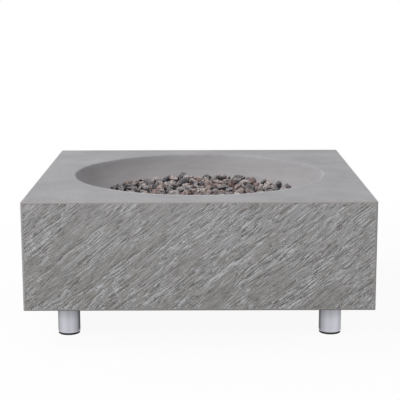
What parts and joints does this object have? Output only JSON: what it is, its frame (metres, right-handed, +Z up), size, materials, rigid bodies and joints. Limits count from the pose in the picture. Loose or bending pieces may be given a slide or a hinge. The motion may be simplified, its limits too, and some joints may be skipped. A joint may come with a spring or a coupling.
{
  "type": "fire pit table",
  "caption": "Square cast fire pit table with slate-textured sides, a sunken bowl of lava stones over a gas ring burner, tube legs and rear gas controls.",
  "frame": {"origin": "on the floor, under the middle of the table", "axes": "+Z up, the front faces -Y, the gas controls are at +Y, +X to the right seen from the front"},
  "size_m": [1.016, 1.016, 0.42],
  "materials": {
    "concrete": "cast glass-fibre concrete, smooth matt top, split-slate relief on the sides",
    "stainless": "brushed stainless steel",
    "steel": "zinc-plated steel",
    "iron": "black iron pipe",
    "brass": "machined brass",
    "aluminium": "drawn aluminium tube",
    "copper": "drawn copper",
    "rubber": "matt black rubber",
    "black_plastic": "moulded black heat-resistant plastic",
    "battery_case": "plain coated steel can",
    "lead_red": "red silicone insulation",
    "ceramic": "glazed white porcelain",
    "lava": "porous red-brown and charcoal lava stone"
  },
  "bodies": {
    "table": {"table_body": "concrete", "leg_tube_fl": "stainless", "leg_tube_fr": "stainless", "leg_tube_bl": "stainless", "leg_tube_br": "stainless", "leg_end_caps": "stainless", "leg_top_plates": "steel", "leg_inserts": "steel", "leg_studs": "steel", "burner_pan": "stainless", "burner_ring": "stainless", "burner_nipple": "iron", "pan_locknut": "brass", "air_mixer": "iron", "gas_orifice": "brass", "feed_tube": "aluminium", "tube_nuts": "brass", "control_plate": "stainless", "plate_gasket": "rubber", "plate_screws": "stainless", "plate_anchors": "brass", "gas_valve": "brass", "valve_bonnet": "brass", "valve_nut": "steel", "stem_spring": "steel", "igniter_body": "black_plastic", "igniter_bezel": "stainless", "button_spring": "steel", "igniter_battery": "battery_case", "ignition_lead": "lead_red", "electrode_insulator": "ceramic", "electrode_rod": "steel", "electrode_bracket": "stainless", "bracket_screws": "stainless", "thermocouple": "copper", "thermocouple_lead": "copper", "thermocouple_nut": "brass", "inlet_union": "brass", "lava_bed": "lava", "lava_rocks": "lava"},
    "knob_slide": {"stem_collar": "steel"},
    "knob": {"valve_stem": "steel", "control_knob": "black_plastic"},
    "button": {"igniter_button": "black_plastic"},
    "foot_fl": {"foot_pad_fl": "rubber", "foot_stem_fl": "steel"},
    "foot_fr": {"foot_pad_fr": "rubber", "foot_stem_fr": "steel"},
    "foot_bl": {"foot_pad_bl": "rubber", "foot_stem_bl": "steel"},
    "foot_br": {"foot_pad_br": "rubber", "foot_stem_br": "steel"}
  },
  "joints": [
    {"name": "knob_push", "type": "slide", "parent": "table", "child": "knob_slide", "axis": [0, -1, 0], "range_m": [0, 0.004], "stiffness_N_per_m": 900, "deforming": ["stem_spring"]},
    {"name": "knob_turn", "type": "hinge", "parent": "knob_slide", "child": "knob", "pos_m": [-0.048, 0.49, 0.2], "axis": [0, 1, 0], "range_deg": [0, 180]},
    {"name": "igniter_press", "type": "slide", "parent": "table", "child": "button", "axis": [0, -1, 0], "range_m": [0, 0.005], "stiffness_N_per_m": 600, "deforming": ["button_spring"]},
    {"name": "foot_level_fl", "type": "slide", "parent": "table", "child": "foot_fl", "axis": [0, 0, -1], "range_m": [0, 0.012]},
    {"name": "foot_level_fr", "type": "slide", "parent": "table", "child": "foot_fr", "axis": [0, 0, -1], "range_m": [0, 0.012]},
    {"name": "foot_level_bl", "type": "slide", "parent": "table", "child": "foot_bl", "axis": [0, 0, -1], "range_m": [0, 0.012]},
    {"name": "foot_level_br", "type": "slide", "parent": "table", "child": "foot_br", "axis": [0, 0, -1], "range_m": [0, 0.012]}
  ]
}
